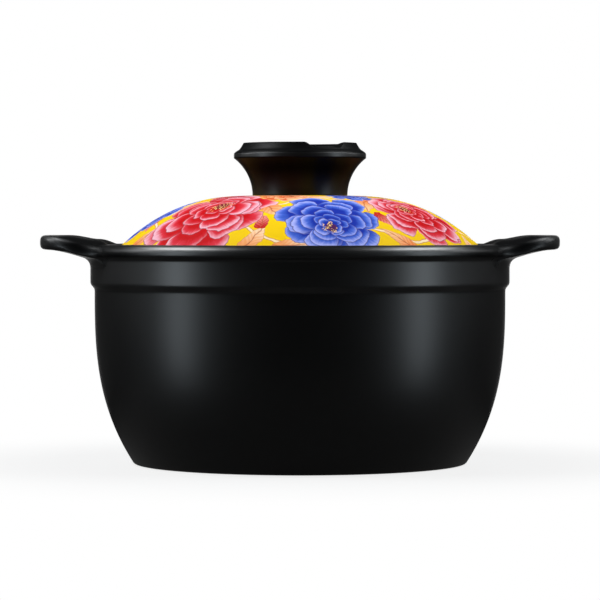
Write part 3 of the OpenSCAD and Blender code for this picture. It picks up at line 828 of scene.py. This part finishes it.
def leaves(net, plane, ground):
    """Curved leaves with ribs, and buds, over the colour of the ground."""
    places = []
    for azimuth, radius, size, aim, kind in LEAVES:
        places.append((*place_on_dome(azimuth, radius), azimuth - 90 + aim, size, kind))
    x, y, number, kind = nearest(net, plane, places)
    rough = net.minus(net.noise(net.joined(x, y, number), WAVER_PATCHES), 0.5)
    side = net.math("ABSOLUTE", net.times_plus(net.times(x, x), -LEAF_BEND, y))
    taper = net.most(net.times_plus(net.times(x, x), -1.0, 1.0), 0.0)
    straight = net.times_plus(x, -LEAF_FALL_SHARE, LEAF_W_SHARE)
    width = net.times(net.math("POWER", taper, LEAF_POWER), straight)
    depth = net.minus(net.times_plus(rough, LEAF_WAVER_SHARE, width), side)
    ribs = net.math("SINE", net.times(net.times_plus(side, -RIB_LEAN, x), RIB_TURNS))
    shade = net.times_plus(ribs, RIB_GAIN, net.times_plus(x, TIP_GAIN, LEAF_LEVEL))
    deep, pale = by_kind(net, kind, LEAF_TINTS, 0), by_kind(net, kind, LEAF_TINTS, 1)
    colour = net.mix(net.smooth(shade, *LEAF_TINT_BAND), deep, pale)
    rib = net.smooth(side, *RIB_BAND, 0.0, RIB_DEPTH)
    line = net.smooth(depth, *LEAF_LINE_BAND, LEAF_LINE_DEPTH, 0.0)
    colour = net.mix(net.most(rib, line), colour, LEAF_LINE)
    return net.mix(net.smooth(depth, *LEAF_END_BAND), ground, colour)


def stems(net, plane, ground):
    """Waving stems round the lid, over the colour of the ground."""
    x, y, _ = net.parts(plane)
    radius = net.vector("LENGTH", plane)
    angle = net.math("ARCTAN2", y, x)
    colour = ground
    for middle, swing, waves, start in STEMS:
        path = net.times_plus(net.math("SINE", net.times_plus(angle, waves, start)), swing, middle)
        away = net.math("ABSOLUTE", net.minus(radius, path))
        colour = net.mix(net.smooth(away, *STEM_EDGE_BAND), colour, STEM_EDGE)
        colour = net.mix(net.smooth(away, *STEM_CORE_BAND), colour, STEM_CORE)
    return colour


def half_plan(net, place):
    """Place on the lid in millimetres from above, with its second half turned onto the first."""
    x, y, _ = net.parts(net.scaled(place, 1 / MM))
    fold = math.radians(PRINT_FOLD)
    side = net.times_plus(x, math.cos(fold), net.times(y, math.sin(fold)))
    flip = net.times_plus(net.over(side, 0.0), -2.0, 1.0)
    return net.joined(net.times(x, flip), net.times(y, flip))


def print_plane(net, flat):
    """The plan stretched so that its radius is the length along the dome, and slightly wandering."""
    radius = net.vector("LENGTH", flat)
    share = net.most(net.linear(radius, NECK_R, LID_R), 0.0)
    added = net.times(net.math("POWER", share, SPREAD_POWER), SPREAD_LENGTH)
    grown = net.math("DIVIDE", net.math("ADD", radius, added), net.most(radius, 1.0))
    plane = net.scaled(flat, grown)
    wander = net.node("ShaderNodeTexNoise", {"Vector": plane, "Scale": WANDER_PATCHES, "Detail": 2.0})
    off = net.vector("SUBTRACT", wander.outputs["Color"], grey(0.5))
    return net.vector("ADD", plane, net.vector("MULTIPLY", off, (WANDER, WANDER, 0.0)))


def yellow_glaze():
    """Yellow glaze with a floral print on its upper side."""
    mat = bpy.data.materials.new("printed_yellow_glaze")
    net = Net(mat)
    place = net.coordinates("Object")
    flat = half_plan(net, place)
    plane = print_plane(net, flat)
    colour = net.mix(net.noise(place, YELLOW_TONE_PATCHES, detail=3.0), GROUND_DARK, GROUND_PALE)
    colour = flowers(net, plane, leaves(net, plane, stems(net, plane, colour)))
    printed = net.smooth(net.parts(net.coordinates("Normal"))[2], *PRINT_BAND)
    colour = net.mix(printed, GROUND, colour)
    # The ring on which the lid rests is bare clay
    out = net.times_plus(net.noise(place, RAG_PATCHES), CLAY_RAG, net.vector("LENGTH", flat))
    ring = net.times(net.smooth(out, *LID_CLAY_START_BAND), net.smooth(out, *LID_CLAY_END_BAND))
    low = net.band(net.minus(net.parts(place)[2], SEAT_Z * MM), CLAY_LEVEL_BAND)
    bare = net.times(low, ring)
    colour = net.mix(bare, colour, clay(net, place))
    rough = net.linear(net.noise(place, YELLOW_GLOSS_PATCHES, detail=3.0), *NOISE_BAND, *YELLOW_ROUGH_RANGE)
    rough = net.most(rough, net.times(bare, CLAY_ROUGH))
    net.principled({"Base Color": colour, "Roughness": rough}, Specular_IOR_Level=YELLOW_SPECULAR)
    return mat


# Pieces
black = black_glaze()
yellow = yellow_glaze()

pot = new_piece("pot_shell", *lathe(pot_outline(), LATHE_SEGMENTS), "pot", "black_glaze", "pot_body")
ear_l = new_piece("left_ear", *ear_mesh(-1), "pot", "black_glaze", "left_handle")
ear_r = new_piece("right_ear", *ear_mesh(1), "pot", "black_glaze", "right_handle")
lid = new_piece("lid_shell", *lathe(lid_outline(), LATHE_SEGMENTS), "lid", "yellow_glaze", "lid_dome")
knob = new_piece("knob_shell", *knob_mesh(), "lid", "black_glaze", "lid_knob")
for piece in (pot, ear_l, ear_r, knob):
    piece.data.materials.append(black)
lid.data.materials.append(yellow)

# Camera: width of a pixel at the object in millimetres, width of the image and distance in pixels, heights of
# the camera and of the point that it faces, width of the sensor in millimetres, farthest distance in metres
PX, IMAGE_PX, DISTANCE_PX = 0.569, 600, 3200
CAMERA_Z, AIM_Z, SENSOR_W, CAMERA_REACH = 137.1, 92.7, 36, 100
camera_data = bpy.data.cameras.new("camera")
camera = bpy.data.objects.new("camera", camera_data)
scene.collection.objects.link(camera)
camera.location = (0, -DISTANCE_PX * PX * MM, CAMERA_Z * MM)
camera.rotation_euler = (Vector((0, 0, AIM_Z * MM)) - camera.location).to_track_quat("-Z", "Y").to_euler()
camera_data.sensor_width = SENSOR_W
camera_data.lens = SENSOR_W * DISTANCE_PX / IMAGE_PX
camera_data.clip_end = CAMERA_REACH
scene.camera = camera


def seen(net):
    """1 for the rays that show the background: from the camera, from gloss and through glass."""
    rays = net.node("ShaderNodeLightPath").outputs
    return net.most(net.most(rays["Is Camera Ray"], rays["Is Glossy Ray"]), rays["Is Transmission Ray"])


# Floor: a disc that turns into the white of the world with distance, and looks dark in the gloss
FLOOR_R, FLOOR_SIDES, FLOOR_DROP, PAPER = 300.0, 96, 0.2, 0.65
FLOOR_FADE_BAND, FLOOR_FADE_LEAST = (120.0, 290.0), 0.80
FLOOR_BACK_BAND, FLOOR_FRONT_GLOSS, FLOOR_BACK_GLOSS = (-50.0, 150.0), 0.105, 0.012


def white_floor():
    mat = bpy.data.materials.new("white_floor")
    net = Net(mat)
    place = net.node("ShaderNodeNewGeometry").outputs["Position"]
    camera_ray = net.node("ShaderNodeLightPath").outputs["Is Camera Ray"]
    far = net.band(net.vector("LENGTH", place), FLOOR_FADE_BAND, FLOOR_FADE_LEAST)
    fade = net.math("ADD", net.times(camera_ray, far), net.minus(seen(net), camera_ray))
    paper = net.node("ShaderNodeBsdfDiffuse", {"Color": grey(PAPER)})
    back = net.band(net.parts(place)[1], FLOOR_BACK_BAND)
    in_gloss = net.mix(back, grey(FLOOR_FRONT_GLOSS), grey(FLOOR_BACK_GLOSS))
    glow_colour = net.mix(camera_ray, in_gloss, grey(1.0))
    glow = net.node("ShaderNodeEmission", {"Color": glow_colour, "Strength": 1.0})
    both = net.node("ShaderNodeMixShader", {0: fade, 1: paper.outputs[0], 2: glow.outputs[0]})
    net.node("ShaderNodeOutputMaterial", {"Surface": both.outputs[0]})
    return mat


floor_mesh = bpy.data.meshes.new("floor")
floor_turns = np.linspace(0, 2 * np.pi, FLOOR_SIDES, endpoint=False)
floor_ring = [(FLOOR_R * MM * math.cos(t), FLOOR_R * MM * math.sin(t), 0) for t in floor_turns]
floor_mesh.from_pydata(floor_ring, [], [tuple(range(FLOOR_SIDES))])
floor_mesh.materials.append(white_floor())
floor = bpy.data.objects.new("floor", floor_mesh)
scene.collection.objects.link(floor)
floor.location.z = -FLOOR_DROP * MM

# Lamps stand in pairs. A row has a name, the place of the right lamp, the point that it faces, its width and
# height, all in metres, the power of the left and of the right lamp in watts, whether they show in gloss
# alone, and their colour.
COOL, PALE = (0.83, 0.93, 1.0), (0.95, 0.98, 1.0)
MIDDLE = (0, 0, 0.12)
LAMPS = (
    ("strip", (1.05, -0.46, 0.305), (0, 0, 0.305), (0.24, 1.03), (4.7, 4.7), True, COOL),
    ("side_box", (1.0, 0.12, 0.8), MIDDLE, (0.4, 0.4), (1.8, 1.0), True, PALE),
    ("tip_box", (0.90, 0.20, 0.49), (0.14, 0, 0.12), (0.4, 0.4), (2.6, 2.0), True, PALE),
    ("lip_box", (0.66, 0.05, 0.95), MIDDLE, (0.3, 0.3), (5.0, 4.4), True, PALE),
    ("box", (0.66, -0.14, 0.93), MIDDLE, (0.5, 0.3), (7.9, 6.3), False, PALE),
    ("top_box", (0.52, 0.28, 0.92), MIDDLE, (0.4, 0.4), (2.2, 2.2), False, PALE),
)


def softbox(name, place, aim, size, power, only_gloss, colour):
    data = bpy.data.lights.new(name, "AREA")
    data.shape = "RECTANGLE"
    data.size, data.size_y = size
    data.energy = power
    data.color = colour
    lamp = bpy.data.objects.new(name, data)
    scene.collection.objects.link(lamp)
    lamp.location = place
    lamp.visible_camera = False
    lamp.visible_diffuse = not only_gloss
    lamp.rotation_euler = (Vector(aim) - Vector(place)).to_track_quat("-Z", "Y").to_euler()


for name, place, aim, size, powers, only_gloss, colour in LAMPS:
    for side, word, power in ((-1, "left", powers[0]), (1, "right", powers[1])):
        there, towards = (side * place[0], *place[1:]), (side * aim[0], *aim[1:])
        softbox(f"{word}_{name}", there, towards, size, power, only_gloss, colour)

# World: white to the camera, dark to gloss apart from a white patch behind the object, and dim to the rest
PATCH_OUT_ANGLE, PATCH_IN_ANGLE = math.radians(18), math.radians(8)
DARK_IN_GLOSS, AMBIENT = 0.05, 0.07


def studio():
    world = bpy.data.worlds.new("world")
    net = Net(world)
    ahead = net.parts(net.coordinates("Generated"))[1]
    patch = net.smooth(ahead, math.cos(PATCH_OUT_ANGLE), math.cos(PATCH_IN_ANGLE))
    gloss = net.mix(patch, grey(DARK_IN_GLOSS), grey(1.0))
    light = net.mix(seen(net), grey(AMBIENT), gloss)
    camera_ray = net.node("ShaderNodeLightPath").outputs["Is Camera Ray"]
    sky = net.mix(camera_ray, light, grey(1.0))
    back = net.node("ShaderNodeBackground", {"Color": sky, "Strength": 1.0})
    net.node("ShaderNodeOutputWorld", {"Surface": back.outputs[0]})
    return world


scene.world = studio()
scene.view_settings.view_transform = "Standard"
